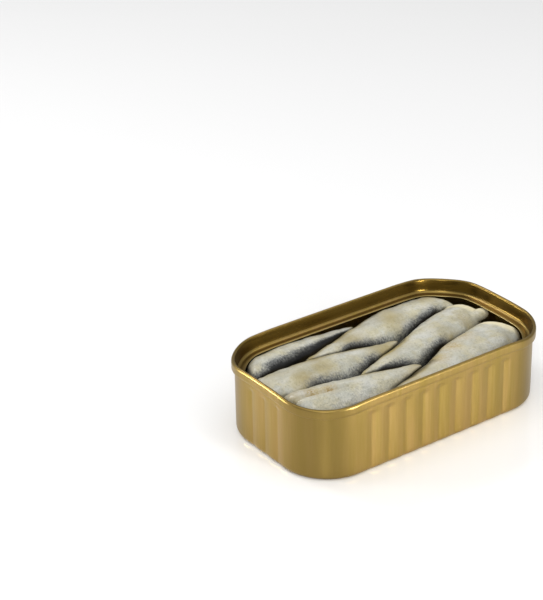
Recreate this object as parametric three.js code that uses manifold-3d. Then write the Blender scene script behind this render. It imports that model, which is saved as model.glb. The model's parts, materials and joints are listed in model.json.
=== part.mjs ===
// An opened rectangular sardine tin: a drawn tin body with fluted sides, the seamed ring that
// stays when its lid is torn out, and the fish that lie in it, heads and tails by turns.
// Millimetres, +Z up. The origin is under the middle of the base, and X runs along the tin.

import * as THREE from 'three';
import { mergeVertices } from 'three/addons/utils/BufferGeometryUtils.js';
import Module from 'manifold-3d';

const wasm = await Module();
wasm.setup();

// Driving sizes of the tin. An inset is a distance inward from the outer face of the seam.
const seamLength = 106;
const seamWidth = 60.2;
const seamCornerRadius = 18.6;
const tinHeight = 28.5;
const seamHeight = 3.4;
const crestThickness = 1.45;
const sideBow = 0.24;
const cornerDip = 1.1;
const cornerDipReach = 22.6;
const sheet = 0.25;
const wallInset = 1.0;
const seamClearance = 0.07;

// The flutes pressed into the sides, and the raised panel of the base.
const flutePitch = 7.25;
const fluteDepth = 0.4;
const longSideFlutes = 9;
const shortSideFlutes = 3;
const fluteTop = 21.5;
const fluteFade = 2.1;
const baseRounding = 2.2;
const restRingInset = 3.0;
const restRingWidth = 2.4;
const panelRise = 1.0;

// The strip of lid that stays inside the seam.
const chuckWallDepth = 5.1;
const ledgeEdgeInset = 4.6;
const ledgeSlope = 0.15;

// The fish, and the room that they lie in.
const fishThickness = 12;
const fishFloor = 12;
const pieceGap = 0.3;

const halfLength = seamLength / 2;
const halfWidth = seamWidth / 2;
const wallInner = wallInset + sheet;
const cornerSteps = 7;

function clamp(value, low, high) {
  return Math.min(high, Math.max(low, value));
}

// One corner arc of the seam outline, as points with their outward direction.
function cornerArc(signX, signY, steps) {
  const start = Math.atan2(signY, signX) - Math.PI / 4;
  const points = [];
  for (let i = 0; i <= steps; i += 1) {
    const angle = start + (i / steps) * (Math.PI / 2);
    const normal = new THREE.Vector2(Math.cos(angle), Math.sin(angle));
    const centre = new THREE.Vector2(
      signX * (halfLength - seamCornerRadius),
      signY * (halfWidth - seamCornerRadius),
    );
    const x = centre.x + normal.x * seamCornerRadius;
    const y = centre.y + normal.y * seamCornerRadius;
    points.push({ x, y, normal, groove: 0 });
  }
  return points;
}

// How far a groove is pressed in at a distance along a side, from 0 on a ridge to 1.
function grooveAt(along, flutes) {
  if (Math.abs(along) > (flutes * flutePitch) / 2) {
    return 0;
  }
  return 1 - Math.abs(Math.sin((Math.PI * along) / flutePitch));
}

// The points of one straight side between its corner arcs.
function sidePoints(axis, sign, steps, flutes) {
  const reach = axis === 'x' ? halfLength - seamCornerRadius : halfWidth - seamCornerRadius;
  const normal = axis === 'x' ? new THREE.Vector2(0, sign) : new THREE.Vector2(sign, 0);
  const direction = axis === 'x' ? -sign : sign;
  const stations = [];
  if (flutes > 0) {
    const half = (flutes * flutePitch) / 2;
    const count = flutes * 4;
    for (let i = 0; i <= count; i += 1) {
      stations.push(-half + (i / count) * 2 * half);
    }
  } else {
    for (let i = 1; i < steps; i += 1) {
      stations.push(-reach + (i / steps) * 2 * reach);
    }
  }
  return stations.map((station) => {
    const along = station * direction;
    const x = axis === 'x' ? along : sign * halfLength;
    const y = axis === 'x' ? sign * halfWidth : along;
    return { x, y, normal, groove: grooveAt(along, flutes) };
  });
}

// The whole seam outline, anticlockwise seen from above.
function outline(sideSteps, fluted) {
  const longFlutes = fluted ? longSideFlutes : 0;
  const shortFlutes = fluted ? shortSideFlutes : 0;
  return [
    ...cornerArc(1, 1, cornerSteps),
    ...sidePoints('x', 1, sideSteps, longFlutes),
    ...cornerArc(-1, 1, cornerSteps),
    ...sidePoints('y', -1, Math.ceil(sideSteps / 2), shortFlutes),
    ...cornerArc(-1, -1, cornerSteps),
    ...sidePoints('x', -1, sideSteps, longFlutes),
    ...cornerArc(1, -1, cornerSteps),
    ...sidePoints('y', 1, Math.ceil(sideSteps / 2), shortFlutes),
  ];
}

// How far round the outline a point lies from the middle of its corner.
function cornerDistance(x, y) {
  const pastX = Math.abs(x) - halfLength + seamCornerRadius;
  const pastY = Math.abs(y) - halfWidth + seamCornerRadius;
  const angle = Math.atan2(Math.max(pastY, 0), Math.max(pastX, 0));
  return seamCornerRadius * Math.abs(angle - Math.PI / 4) - Math.min(pastX, pastY, 0);
}

// One ring of the tin: the outline moved in by an inset, at a height. The sides bow out a little,
// and the corners sit lower than the sides near the rim.
function tinRing(points, inset, height, groovePart = 0) {
  return points.map(({ x, y, normal, groove }) => {
    const depth = inset + fluteDepth * groove * groovePart;
    const inX = x - normal.x * depth;
    const inY = y - normal.y * depth;
    const bowX = 1 + (sideBow / halfLength) * (1 - Math.min(1, (y / halfWidth) ** 2));
    const bowY = 1 + (sideBow / halfWidth) * (1 - Math.min(1, (x / halfLength) ** 2));
    const fromCorner = clamp(cornerDistance(x, y) / cornerDipReach, 0, 1);
    const rise = clamp((height - tinHeight / 2) / (tinHeight / 3), 0, 1);
    const dip = cornerDip * Math.cos((Math.PI / 2) * fromCorner) ** 2 * rise;
    return new THREE.Vector3(inX * bowX, inY * bowY, height - dip);
  });
}

// A closed skin over rings that all have the same number of points. Its first and last rings are
// capped flat, or joined to each other when the rings run round a closed section.
function skin(rings, ringsClose) {
  const count = rings[0].length;
  const positions = rings.flat().flatMap((point) => [point.x, point.y, point.z]);
  const index = [];
  const strips = ringsClose ? rings.length : rings.length - 1;
  for (let row = 0; row < strips; row += 1) {
    const lower = row * count;
    const upper = ((row + 1) % rings.length) * count;
    for (let i = 0; i < count; i += 1) {
      const next = (i + 1) % count;
      index.push(lower + i, lower + next, upper + next);
      index.push(lower + i, upper + next, upper + i);
    }
  }
  if (!ringsClose) {
    const last = (rings.length - 1) * count;
    const capOf = (ring) => THREE.ShapeUtils.triangulateShape(ring, []);
    for (const [a, b, c] of capOf(flatten(rings[0]))) {
      index.push(c, b, a);
    }
    for (const [a, b, c] of capOf(flatten(rings[rings.length - 1]))) {
      index.push(last + a, last + b, last + c);
    }
  }
  const geometry = new THREE.BufferGeometry();
  geometry.setAttribute('position', new THREE.Float32BufferAttribute(positions, 3));
  geometry.setIndex(index);
  return geometry;
}

// The points of a nearly flat ring in its own plane, anticlockwise about the direction it faces.
function flatten(ring) {
  const centre = new THREE.Vector3();
  ring.forEach((point) => centre.add(point));
  centre.divideScalar(ring.length);
  const normal = new THREE.Vector3();
  ring.forEach((point, i) => {
    const a = point.clone().sub(centre);
    const b = ring[(i + 1) % ring.length].clone().sub(centre);
    normal.add(a.cross(b));
  });
  normal.normalize();
  const across = ring[0].clone().sub(centre).normalize();
  const up = normal.clone().cross(across);
  return ring.map((point) => {
    const from = point.clone().sub(centre);
    return new THREE.Vector2(from.dot(across), from.dot(up));
  });
}

function toSolid(geometry) {
  const merged = mergeVertices(geometry, 1e-5);
  const mesh = new wasm.Mesh({
    numProp: 3,
    vertProperties: Float32Array.from(merged.attributes.position.array),
    triVerts: Uint32Array.from(merged.index.array),
  });
  return new wasm.Manifold(mesh);
}

// The largest piece of a solid, as geometry.
function toGeometry(solid) {
  const pieces = solid.decompose();
  const largest = pieces.reduce((best, piece) => (piece.volume() > best.volume() ? piece : best));
  const mesh = largest.getMesh();
  const positions = Float32Array.from(mesh.vertProperties);
  const geometry = new THREE.BufferGeometry();
  geometry.setAttribute('position', new THREE.BufferAttribute(positions, 3));
  geometry.setIndex(Array.from(mesh.triVerts));
  return geometry;
}

// The drawn body, as one sheet: base panel, rest ring, rounded foot, fluted wall and plain neck.
function tinBodyGeometry() {
  const points = outline(0, true);
  const neckTop = tinHeight - 1.6;
  const panelInset = restRingInset + restRingWidth + 1.2;
  const outside = [
    [panelInset, panelRise, 0],
    [restRingInset + restRingWidth, 0, 0],
    [restRingInset, 0, 0],
    [wallInset + baseRounding * 0.3, baseRounding * 0.27, 0.6],
    [wallInset, baseRounding, 1],
    [wallInset, fluteTop, 1],
    [wallInset, fluteTop + fluteFade, 0],
    [wallInset, neckTop, 0],
  ];
  const inside = [
    [wallInner, neckTop, 0],
    [wallInner, fluteTop + fluteFade, 0],
    [wallInner, fluteTop, 1],
    [wallInner, baseRounding, 1],
    [wallInner + baseRounding * 0.3, baseRounding * 0.27 + sheet, 0.6],
    [restRingInset, sheet, 0],
    [restRingInset + restRingWidth, sheet, 0],
    [panelInset, panelRise + sheet, 0],
  ];
  const rings = [...outside, ...inside].map(([inset, z, part]) => tinRing(points, inset, z, part));
  return skin(rings, false);
}

// The seam and what is left of the lid: skirt, crest, chuck wall and the ledge with its torn edge.
function lidRingGeometry() {
  const points = outline(12, false);
  const skirtBottom = tinHeight - seamHeight;
  const slotTop = tinHeight - 1.5;
  const slotOuter = wallInset - seamClearance;
  const slotInner = wallInner + seamClearance;
  const chuckInner = slotInner + sheet;
  const ledgeTop = tinHeight - chuckWallDepth;
  const section = [
    [0.25, skirtBottom],
    [0, skirtBottom + 0.3],
    [0, tinHeight - 0.75],
    [crestThickness * 0.14, tinHeight - 0.25],
    [crestThickness * 0.45, tinHeight],
    [crestThickness * 0.8, tinHeight - 0.25],
    [crestThickness, tinHeight - 0.75],
    [chuckInner, slotTop],
    [chuckInner + 0.05, ledgeTop + 0.8],
    [chuckInner + 0.25, ledgeTop + 0.25],
    [chuckInner + 0.7, ledgeTop],
    [ledgeEdgeInset, ledgeTop - ledgeSlope],
    [ledgeEdgeInset, ledgeTop - ledgeSlope - sheet],
    [chuckInner + 0.55, ledgeTop - sheet],
    [slotInner + 0.2, ledgeTop],
    [slotInner, ledgeTop + 0.6],
    [slotInner, slotTop],
    [slotOuter, slotTop],
    [slotOuter, skirtBottom],
  ];
  return skin(section.map(([inset, z]) => tinRing(points, inset, z)), true);
}

// What lies under the top layer of fish, as one plain block with a level top.
function fillingGeometry() {
  const points = outline(4, false);
  const inset = wallInner + fluteDepth + pieceGap;
  const rings = [
    tinRing(points, inset + baseRounding, panelRise + sheet + pieceGap),
    tinRing(points, inset, baseRounding + panelRise),
    tinRing(points, inset, fishFloor - pieceGap),
  ];
  return skin(rings, false);
}

// The room for the top layer: clear of the wall, and of the ledge over it.
function fishRoom() {
  const points = outline(6, false);
  const wallSide = wallInner + fluteDepth + pieceGap;
  const edgeSide = ledgeEdgeInset + pieceGap;
  const underLedge = tinHeight - chuckWallDepth - ledgeSlope - sheet - pieceGap;
  const rings = [
    tinRing(points, wallSide, fishFloor),
    tinRing(points, wallSide, underLedge),
    tinRing(points, edgeSide, underLedge + 0.05),
    tinRing(points, edgeSide, tinHeight),
  ];
  return toSolid(skin(rings, false));
}

// How thick a fish is along its length, from 0 at the cut behind the head to 1 at the tail, as a
// part of its greatest thickness.
const fattest = 0.3;
const neckPart = 0.85;
const tailTaper = 1.6;
const frontFuller = 1.2;
const slantReach = 0.45;
const tipLength = 3;

function girth(station, tailPart) {
  if (station > fattest) {
    return 1 - (1 - tailPart) * ((station - fattest) / (1 - fattest)) ** tailTaper;
  }
  return 1 - (1 - neckPart) * ((fattest - station) / fattest) ** 2;
}

// One turn of a fish's section: an ellipse that is fuller on its front side.
function sectionPoint(angle, halfAcross, halfUp) {
  const cos = Math.cos(angle);
  const fuller = cos < 0 ? frontFuller : 1;
  return { across: halfAcross * fuller * cos, up: halfUp * Math.sin(angle) };
}

// The height of a fish's upper side along its length, from its heights at the head, at its
// fattest place and at the tail.
function topAt(station, [headTop, fatTop, tailTop]) {
  if (station < fattest) {
    return THREE.MathUtils.lerp(headTop, fatTop, station / fattest);
  }
  return THREE.MathUtils.lerp(fatTop, tailTop, (station - fattest) / (1 - fattest));
}

// A fish with its head off. Its back bone runs in plan from head to tail, with a bow and a swing
// to one side. skew slants the cut at the head, cutPart is the size of the cut face as a part of
// the section behind it, and grow adds a margin all over.
function sardine(fish, grow = 0) {
  const around = 16;
  const along = 14;
  const start = new THREE.Vector2(...fish.head);
  const axis = new THREE.Vector2(...fish.tail).sub(start);
  const length = axis.length();
  axis.normalize();
  const side = new THREE.Vector2(-axis.y, axis.x).multiplyScalar(Math.sign(axis.x));
  const headEnd = [0, 0.06, 0.35, 0.8, 1.5].map((part) => part * fish.rounding);
  const bodyStart = 2.4 * fish.rounding;
  const body = Array.from({ length: along }, (_, i) => {
    return THREE.MathUtils.lerp(bodyStart, length, (i + 1) / along);
  });
  const rings = [...headEnd, ...body].map((distance) => {
    const station = distance / length;
    const sway = fish.bow * Math.sin(Math.PI * station) + fish.swing * Math.sin(2 * Math.PI * station);
    const centre = start.clone().addScaledVector(axis, distance).addScaledVector(side, sway);
    const nearHead = clamp(1 - distance / fish.rounding, 0, 1);
    const nearTip = clamp(1 - (length - distance) / tipLength, 0, 1);
    const headRound = fish.cutPart + (1 - fish.cutPart) * Math.sqrt(1 - nearHead ** 2);
    const tipRound = Math.sqrt(1 - 0.96 * nearTip ** 2);
    const full = girth(station, fish.tailPart);
    const part = full * headRound * tipRound;
    const middle = topAt(station, fish.top) - (fishThickness / 2) * full;
    const slantPart = fish.skew * clamp(1 - station / slantReach, 0, 1) ** 1.5;
    const isEnd = distance === 0 || distance === length;
    const endGrow = isEnd ? grow * Math.sign(station - 0.5) : 0;
    return Array.from({ length: around }, (_, j) => {
      const angle = (j / around) * 2 * Math.PI;
      const halfAcross = (fish.width / 2) * part + grow;
      const halfUp = (fishThickness / 2) * part + grow;
      const { across, up } = sectionPoint(angle, halfAcross, halfUp);
      const slant = slantPart * across + endGrow;
      return new THREE.Vector3(
        centre.x + side.x * across + axis.x * slant,
        centre.y + side.y * across + axis.y * slant,
        middle + up,
      );
    });
  });
  const headToTail = axis.x * side.y - axis.y * side.x > 0;
  return skin(headToTail ? rings : rings.reverse(), false);
}

// The fish that lies lower than the rest, along the front wall.
const lowFish = {
  name: 'sardine_front_low',
  head: [-41, -20.5],
  tail: [36, -24.5],
  bow: 0,
  swing: 0,
  width: 12,
  top: [20.2, 20.3, 19],
  skew: -0.5,
  rounding: 3,
  cutPart: 0.55,
  tailPart: 0.3,
};

// The top layer, from the front of the tin to the back. The heads lie at one end and the other
// by turns.
const upperFishes = [
  {
    name: 'sardine_front_right',
    head: [45.2, -7.1],
    tail: [-14, -21.7],
    bow: -1.1,
    swing: 0.6,
    width: 16,
    top: [23.3, 24.1, 21.7],
    skew: 0.5,
    rounding: 2.5,
    cutPart: 0.78,
    tailPart: 0.2,
  },
  {
    name: 'sardine_front_left',
    head: [-45.5, -6.6],
    tail: [15, -16.1],
    bow: -0.6,
    swing: -0.3,
    width: 15.3,
    top: [23.7, 24.1, 21.8],
    skew: -0.3,
    rounding: 4,
    cutPart: 0.55,
    tailPart: 0.25,
  },
  {
    name: 'sardine_middle_right',
    head: [44.5, 11.4],
    tail: [-19, -7.4],
    bow: -2,
    swing: 0.1,
    width: 14.8,
    top: [23.1, 24.1, 21.8],
    skew: 0.45,
    rounding: 2.5,
    cutPart: 0.78,
    tailPart: 0.2,
  },
  {
    name: 'sardine_middle_left',
    head: [-48, 7.6],
    tail: [14, 4],
    bow: 0.75,
    swing: 0.3,
    width: 15.2,
    top: [23.6, 24.1, 21.8],
    skew: 0,
    rounding: 3,
    cutPart: 0.55,
    tailPart: 0.25,
  },
  {
    name: 'sardine_back_right',
    head: [42.2, 22],
    tail: [-34, 10.8],
    bow: 1.3,
    swing: 0.8,
    width: 15.3,
    top: [22.9, 23.8, 21.6],
    skew: 0.6,
    rounding: 4,
    cutPart: 0.55,
    tailPart: 0.2,
  },
  {
    name: 'sardine_back_left',
    head: [-43.5, 20.4],
    tail: [8, 24.8],
    bow: 0.3,
    swing: 0,
    width: 14,
    top: [23.3, 23.8, 20.8],
    skew: 0.5,
    rounding: 5,
    cutPart: 0.55,
    tailPart: 0.15,
  },
];

const lacquer = { color: 0xbe9f58, roughness: 0.3, metalness: 1 };
const innerLacquer = { color: 0xb08f45, roughness: 0.25, metalness: 1 };
const silverSkin = { color: 0xc4c4b0, roughness: 0.4, metalness: 0.1 };
const darkFilling = { color: 0x3a3420, roughness: 0.35, metalness: 0 };

const tin = new THREE.Group();

function addPiece(name, geometry, look) {
  const mesh = new THREE.Mesh(geometry, new THREE.MeshStandardMaterial(look));
  mesh.name = name;
  tin.add(mesh);
}

addPiece('tin_body', tinBodyGeometry(), lacquer);
addPiece('lid_ring', lidRingGeometry(), innerLacquer);
addPiece('packed_filling', fillingGeometry(), darkFilling);

// A fish trimmed to the room inside the tin, and to the fish that it gives way to.
function addFish(fish, others) {
  const trimmed = others.reduce(
    (solid, other) => solid.subtract(toSolid(sardine(other, pieceGap))),
    toSolid(sardine(fish)).intersect(fishRoom()),
  );
  addPiece(fish.name, toGeometry(trimmed), silverSkin);
}

// Each upper fish gives way to those in front of it, and the low fish to all that lie on it.
upperFishes.forEach((fish, i) => addFish(fish, upperFishes.slice(0, i)));
addFish(lowFish, upperFishes);

export default tin;
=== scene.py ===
# %% [markdown]
# # An open tin of small fish
# A drawn tin with fluted sides stands open. What is left of its lid runs round inside the seam,
# and small fish without heads lie in it, heads and tails by turns. The solids of the tin come
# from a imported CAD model, so the first step loads them as a fixed frame in metres. Everything
# that follows is made to sit exactly where those solids are.

# %% Load the frame
import json
import math

import bmesh
import bpy
import numpy as np
from mathutils import Matrix, Vector

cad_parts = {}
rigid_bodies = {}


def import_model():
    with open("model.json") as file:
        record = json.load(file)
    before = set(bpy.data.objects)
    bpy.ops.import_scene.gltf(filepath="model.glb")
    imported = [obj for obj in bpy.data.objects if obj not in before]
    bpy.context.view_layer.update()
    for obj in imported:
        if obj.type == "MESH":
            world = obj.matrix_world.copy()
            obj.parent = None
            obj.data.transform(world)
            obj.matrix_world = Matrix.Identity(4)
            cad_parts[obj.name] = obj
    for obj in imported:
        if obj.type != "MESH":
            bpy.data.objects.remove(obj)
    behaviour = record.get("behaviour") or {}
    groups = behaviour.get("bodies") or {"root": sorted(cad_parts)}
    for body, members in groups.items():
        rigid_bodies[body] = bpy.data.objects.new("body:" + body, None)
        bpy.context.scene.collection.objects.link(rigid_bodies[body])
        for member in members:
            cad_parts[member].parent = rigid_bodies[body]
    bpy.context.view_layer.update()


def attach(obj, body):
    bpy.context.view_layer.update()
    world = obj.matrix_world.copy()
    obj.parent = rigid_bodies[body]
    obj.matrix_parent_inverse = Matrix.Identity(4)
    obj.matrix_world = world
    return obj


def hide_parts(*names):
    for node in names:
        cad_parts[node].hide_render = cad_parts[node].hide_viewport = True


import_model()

# %% [markdown]
# ## Node maths that reads like sums
# Shaders and Geometry Nodes both need long sums. Placing every Math node by hand is slow and
# hard to read, so one small class wraps a socket, and ordinary Python sums on it add the nodes.
# A second class holds a tree and adds any other node from its type, settings and inputs.

# %% Sums on sockets
class Value:
    """One number or vector in a node tree."""

    def __init__(self, tree, socket):
        self.tree = tree
        self.socket = socket

    def __add__(self, other):
        return self.tree.sum("ADD", self, other)

    def __sub__(self, other):
        return self.tree.sum("SUBTRACT", self, other)

    def __rsub__(self, other):
        return self.tree.sum("SUBTRACT", other, self)

    def __mul__(self, other):
        return self.tree.sum("MULTIPLY", self, other)

    def __truediv__(self, other):
        return self.tree.sum("DIVIDE", self, other)

    def __pow__(self, power):
        return self.tree.sum("POWER", self, power)

    __radd__ = __add__
    __rmul__ = __mul__


# %% A tree that is filled from Python
class NodeTree:
    """The node tree of a material or of a form."""

    def __init__(self, tree):
        self.tree = tree

    def add(self, kind, settings=None, inputs=None, output=0):
        """A new node: its settings first, then its sockets' values or links."""
        node = self.tree.nodes.new(kind)
        for name, value in (settings or {}).items():
            if name == "stops":
                self.set_stops(node.color_ramp, value)
            else:
                setattr(node, name, value)
        for key, value in (inputs or {}).items():
            self.put(self.socket(node.inputs, key), value)
        return Value(self, self.socket(node.outputs, output))

    def socket(self, sockets, key):
        if isinstance(key, int):
            return sockets[key]
        return next(s for s in sockets if s.name == key and s.enabled)

    def put(self, socket, value):
        if isinstance(value, Value):
            self.tree.links.new(value.socket, socket)
        else:
            socket.default_value = value

    def set_stops(self, ramp, stops):
        while len(ramp.elements) < len(stops):
            ramp.elements.new(0.5)
        for element, (place, colour) in zip(ramp.elements, stops):
            element.position = place
            element.color = (*colour, 1.0)

    def sum(self, operation, *values):
        """Any Math node."""
        return self.add("ShaderNodeMath", {"operation": operation}, dict(enumerate(values)))

    def vector(self, operation, *values, output=0):
        """A vector sum. A plain number as the last value goes to the Scale socket."""
        node = {"operation": operation}
        if operation == "SCALE":
            return self.add("ShaderNodeVectorMath", node, {0: values[0], "Scale": values[1]})
        return self.add("ShaderNodeVectorMath", node, dict(enumerate(values)), output)

    def parts(self, vector):
        """The x, y and z of a vector."""
        x = self.add("ShaderNodeSeparateXYZ", inputs={0: vector})
        node = x.socket.node
        return x, Value(self, node.outputs[1]), Value(self, node.outputs[2])

    def join(self, x, y, z):
        return self.add("ShaderNodeCombineXYZ", inputs={0: x, 1: y, 2: z})

    def step(self, value, low, high):
        """0 below low, 1 above high, and a smooth rise between them. High may be the lower."""
        sockets = {"Value": value, "From Min": low, "From Max": high}
        return self.add("ShaderNodeMapRange", {"interpolation_type": "SMOOTHSTEP"}, sockets)

    def limit(self, value):
        """The value kept between 0 and 1."""
        return self.add("ShaderNodeClamp", inputs={0: value, 1: 0.0, 2: 1.0})

    def noise(self, vector, scale, detail=2.0, roughness=0.5, seed=0.0):
        sockets = {"Vector": vector, "W": seed, "Scale": scale, "Detail": detail,
                   "Roughness": roughness}
        return self.add("ShaderNodeTexNoise", {"noise_dimensions": "4D"}, sockets)

    def mix(self, part, first, second):
        """A mix of two colours."""
        sockets = {"Factor": part, "A": first, "B": second}
        return self.add("ShaderNodeMix", {"data_type": "RGBA"}, sockets, "Result")

    def stored(self, name, output="Fac"):
        """In a material, an attribute that is stored on the mesh."""
        return self.add("ShaderNodeAttribute", {"attribute_name": name}, output=output)

    def emboss(self, shader, height, strength, distance):
        """Fine relief that the light shows: a height turned into the shader's normal."""
        sockets = {"Strength": strength, "Distance": distance, "Height": height}
        self.put(shader.inputs["Normal"], self.add("ShaderNodeBump", {}, sockets, "Normal"))


# %% Screen colours
def colour(red, green, blue):
    """A screen colour, 0 to 255, as the linear colour that a shader takes."""
    def linear(level):
        level /= 255
        return level / 12.92 if level <= 0.04045 else ((level + 0.055) / 1.055) ** 2.4
    return (linear(red), linear(green), linear(blue), 1.0)


print("screen grey 128 is a linear level of", round(colour(128, 128, 128)[0], 3))

# %% [markdown]
# ## The camera
# The picture is matched before anything is modelled, because every shape is then judged in it.
# The camera looks down on the tin from the front left with a long lens. Its place is worked out
# from its angles, its distance, and where the middle of the tin falls in the picture.

# %% Place the camera
IMAGE_SIZE = (543, 600)
FOCAL_PIXELS = 1785.55
SENSOR = 36.0
AZIMUTH = math.radians(-35.063)
ELEVATION = math.radians(26.834)
ROLL = math.radians(-1.254)
DISTANCE = 0.62425
TIN_MIDDLE = Vector((0.0, 0.0, 0.01425))
MIDDLE_PIXEL = (385.435, 373.289)

back = Vector((math.sin(AZIMUTH) * math.cos(ELEVATION),
               -math.cos(AZIMUTH) * math.cos(ELEVATION),
               math.sin(ELEVATION)))
level_right = Vector((math.cos(AZIMUTH), math.sin(AZIMUTH), 0.0))
level_up = back.cross(level_right)
right = math.cos(ROLL) * level_right + math.sin(ROLL) * level_up
up = math.cos(ROLL) * level_up - math.sin(ROLL) * level_right
per_pixel = DISTANCE / FOCAL_PIXELS
aside = (MIDDLE_PIXEL[0] - IMAGE_SIZE[0] / 2) * per_pixel
above = (IMAGE_SIZE[1] / 2 - MIDDLE_PIXEL[1]) * per_pixel
eye = TIN_MIDDLE + back * DISTANCE - right * aside - up * above

camera = bpy.data.objects.new("camera", bpy.data.cameras.new("camera"))
camera.data.sensor_width = SENSOR
camera.data.lens = FOCAL_PIXELS / max(IMAGE_SIZE) * SENSOR
camera.matrix_world = Matrix([
    [right.x, up.x, back.x, eye.x],
    [right.y, up.y, back.y, eye.y],
    [right.z, up.z, back.z, eye.z],
    [0.0, 0.0, 0.0, 1.0],
])
bpy.context.scene.collection.objects.link(camera)
bpy.context.scene.camera = camera
print("lens", round(camera.data.lens, 1), "mm, eye at", [round(c, 3) for c in eye])

# %% [markdown]
# ## Sizes of the tin
# These are the sizes of the solids, in millimetres, so that each finished piece lands on its
# own solid. An inset is a distance inward from the outer face of the seam.

# %% Tin sizes and its outline
MM = 0.001
SEAM_LENGTH = 106.0
SEAM_WIDTH = 60.2
CORNER_RADIUS = 18.6
TIN_HEIGHT = 28.5
CREST = 1.45
CREST_RISE = 0.75
SIDE_BOW = 0.24
CORNER_DIP = 1.1
DIP_REACH = 22.6
SHEET = 0.25
WALL_OUTER = 1.0
WALL_INNER = WALL_OUTER + SHEET
FLUTE_PITCH = 7.25
FLUTE_DEPTH = 0.42
FLUTE_TOP = 21.5
FLUTE_FADE = 2.1
PANEL_RAISE = 1.0
FOOT_INSET = 3.0
FOOT_HEIGHT = 2.2
NECK_HEIGHT = 25.2
HALF_LENGTH = SEAM_LENGTH / 2
HALF_WIDTH = SEAM_WIDTH / 2
# For each corner, the side that follows it: the side's outward and forward directions, and how
# many flutes it has.
TURNS = [((1, 1), (0, 1), (-1, 0), 9), ((-1, 1), (-1, 0), (0, -1), 3),
         ((-1, -1), (0, -1), (1, 0), 9), ((1, -1), (1, 0), (0, 1), 3)]


def seam_outline(per_corner, spacing):
    """The outline anticlockwise from above: points, outward directions, and for each point
    its distance along its side with the half length of that side's flutes."""
    points, outward, flutes = [], [], []
    half = np.array([HALF_LENGTH, HALF_WIDTH])
    for turn, (corner, normal, direction, count) in enumerate(TURNS):
        centre = np.array(corner) * (half - CORNER_RADIUS)
        for i in range(per_corner + 1):
            angle = (turn + i / per_corner) * math.pi / 2
            facing = np.array([math.cos(angle), math.sin(angle)])
            points.append(centre + facing * CORNER_RADIUS)
            outward.append(facing)
            flutes.append((0.0, -1.0))
        reach = (half - CORNER_RADIUS) @ np.abs(direction)
        steps = int((reach - 0.1) / spacing)
        for i in range(-steps, steps + 1):
            points.append(np.array(normal) * half + np.array(direction) * i * spacing)
            outward.append(np.array(normal, float))
            flutes.append((i * spacing, count * FLUTE_PITCH / 2))
    return np.array(points), np.array(outward), np.array(flutes)


def smooth_rise(value):
    value = np.clip(value, 0, 1)
    return value * value * (3 - 2 * value)


def tin_ring(points, outward, inset, height):
    """The outline moved in by an inset, at a height, in metres. The sides bow out a little,
    and the corners sit lower than the sides near the rim."""
    half = np.array([HALF_LENGTH, HALF_WIDTH])
    share = np.minimum(1, (points / half) ** 2)
    bow = 1 + SIDE_BOW / half * (1 - share[:, ::-1])
    past = np.abs(points) - half + CORNER_RADIUS
    angle = np.arctan2(np.maximum(past[:, 1], 0), np.maximum(past[:, 0], 0))
    from_corner = CORNER_RADIUS * np.abs(angle - math.pi / 4) - np.minimum(past.min(axis=1), 0)
    rise = min(1, max(0, (height - TIN_HEIGHT / 2) / (TIN_HEIGHT / 3)))
    dip = CORNER_DIP * rise * np.cos(math.pi / 2 * np.minimum(1, from_corner / DIP_REACH)) ** 2
    flat = (points - outward * inset) * bow
    return np.column_stack([flat, height - dip]) * MM


# %% [markdown]
# ## Gold lacquer
# Food tins are tinplate with a thin gold lacquer, so the metal shows through a warm yellow film.
# A metallic shader with a gold colour gives the reflections. Rolled sheet is never quite even:
# fine streaks run up the drawn wall, and the surface has a faint orange peel. At the corners the
# film is mixed towards a darker gold as painted shade, for the darker reflections there. The
# inside of the lid has a thicker, browner lacquer, and its torn edge shows bare tin.

# %% Gold lacquer material
GOLD = colour(164, 136, 80)
DEEP_GOLD = colour(156, 132, 68)
STREAK_GOLD = colour(186, 160, 104)
CORNER_SHADE_GOLD = colour(126, 106, 56)
INNER_GOLD = colour(104, 82, 34)
BARE_TIN = colour(190, 172, 124)
# Where the painted shade of the corners fades in, in millimetres from the middle.
CORNER_FROM_X, CORNER_TO_X = 29.0, 42.0
CORNER_FROM_Y, CORNER_TO_Y = 5.0, 20.0


def new_material(name):
    """A material with only its shader and output, and the tree to fill."""
    material = bpy.data.materials.new(name)
    material.use_nodes = True
    shader = material.node_tree.nodes["Principled BSDF"]
    return material, NodeTree(material.node_tree), shader


def object_place(nodes):
    """A point of the piece in millimetres."""
    place = nodes.add("ShaderNodeTexCoord", output="Object")
    return nodes.vector("SCALE", place, 1000.0)


def gold_lacquer():
    material, nodes, shader = new_material("gold_lacquer")
    place = object_place(nodes)
    x, y, z = nodes.parts(place)
    streaks = nodes.noise(nodes.join(x, y, z * 0.03), 1.6, 3.0, 0.6)
    cloud = nodes.noise(nodes.join(x, y, z * 0.1), 0.3, 2.0)
    peel = nodes.noise(place, 2.2, 2.0)
    torn, inner = nodes.stored("torn"), nodes.stored("inner")
    film = nodes.mix(nodes.step(cloud, 0.3, 0.7), DEEP_GOLD, GOLD)
    film = nodes.mix(nodes.step(streaks, 0.4, 0.8) * 0.3, film, STREAK_GOLD)
    to_end = nodes.step(nodes.sum("ABSOLUTE", x), CORNER_FROM_X, CORNER_TO_X)
    to_side = nodes.step(nodes.sum("ABSOLUTE", y), CORNER_FROM_Y, CORNER_TO_Y)
    # Painted shade: the corners are darkened towards a darker gold.
    film = nodes.mix(to_end * to_side * 0.75, film, CORNER_SHADE_GOLD)
    film = nodes.mix(inner, film, INNER_GOLD)
    film = nodes.mix(torn, film, BARE_TIN)
    nodes.put(shader.inputs["Base Color"], film)
    nodes.put(shader.inputs["Roughness"], 0.3 + streaks * 0.06 + cloud * 0.05 - inner * 0.1)
    shader.inputs["Metallic"].default_value = 1.0
    nodes.emboss(shader, streaks * 0.4 + peel * 0.6, 0.06, 0.05 * MM)
    return material


lacquer = gold_lacquer()
print("made", lacquer.name)

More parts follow.
